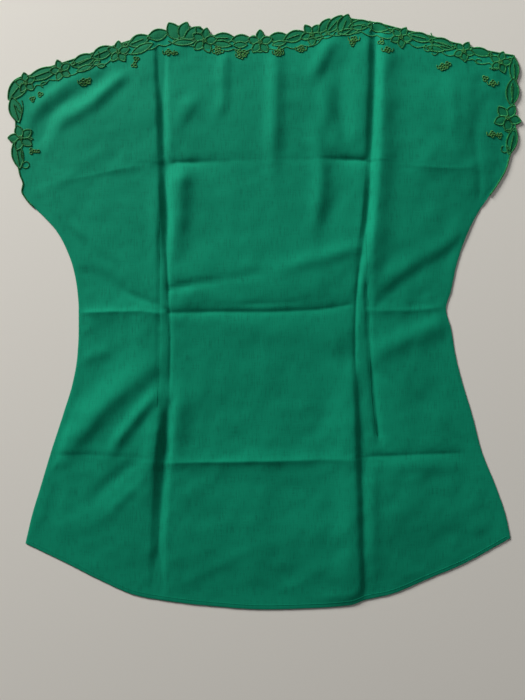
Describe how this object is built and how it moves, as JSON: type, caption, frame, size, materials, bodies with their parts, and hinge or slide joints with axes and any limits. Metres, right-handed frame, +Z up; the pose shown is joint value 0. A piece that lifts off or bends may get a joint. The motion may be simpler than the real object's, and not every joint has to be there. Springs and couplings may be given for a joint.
{
  "type": "embroidered blouse",
  "caption": "Cap-sleeved blouse laid flat, back uppermost, with waist darts, a curved hem and a floral cutwork border along neck, shoulders and sleeve ends.",
  "frame": {"origin": "under the middle of the blouse's outline, on the surface it lies on", "axes": "+X across the blouse towards its right edge as seen from above, +Y from the hem to the neck, +Z up from the surface"},
  "size_m": [0.592, 0.6864, 0.0072],
  "materials": {
    "green_cloth": "soft plain weave with a faint slub",
    "satin_stitch": "dark green satin stitch with a dull thread sheen",
    "accent_thread": "olive gold thread and beads in the flower middles"
  },
  "bodies": {
    "root": {"front_panel": "green_cloth", "back_panel": "green_cloth", "neck_border": "satin_stitch", "shoulder_border_left": "satin_stitch", "shoulder_border_right": "satin_stitch", "sleeve_border_left": "satin_stitch", "sleeve_border_right": "satin_stitch"}
  },
  "joints": []
}
